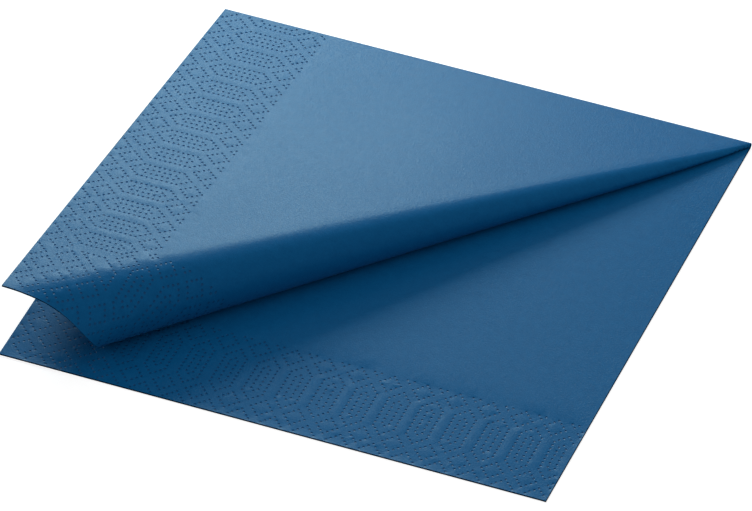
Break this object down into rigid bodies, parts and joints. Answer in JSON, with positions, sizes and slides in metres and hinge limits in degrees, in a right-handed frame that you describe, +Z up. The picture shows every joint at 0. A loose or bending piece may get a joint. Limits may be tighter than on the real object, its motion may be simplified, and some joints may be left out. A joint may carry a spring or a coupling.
{
  "type": "paper napkin",
  "caption": "Square tissue napkin folded in quarters, with an embossed border and its top leaf turned diagonally under itself in a soft roll.",
  "frame": {"origin": "centre of the bounding box, on the table surface that the lower leaf lies on", "axes": "+Z up, out of the table; +X along the front edge to the folded side; +Y to the back fold that joins the two leaves"},
  "size_m": [0.1652, 0.1658, 0.0248],
  "materials": {
    "tissue": "matt"
  },
  "bodies": {
    "root": {"napkin": "tissue"}
  },
  "joints": []
}
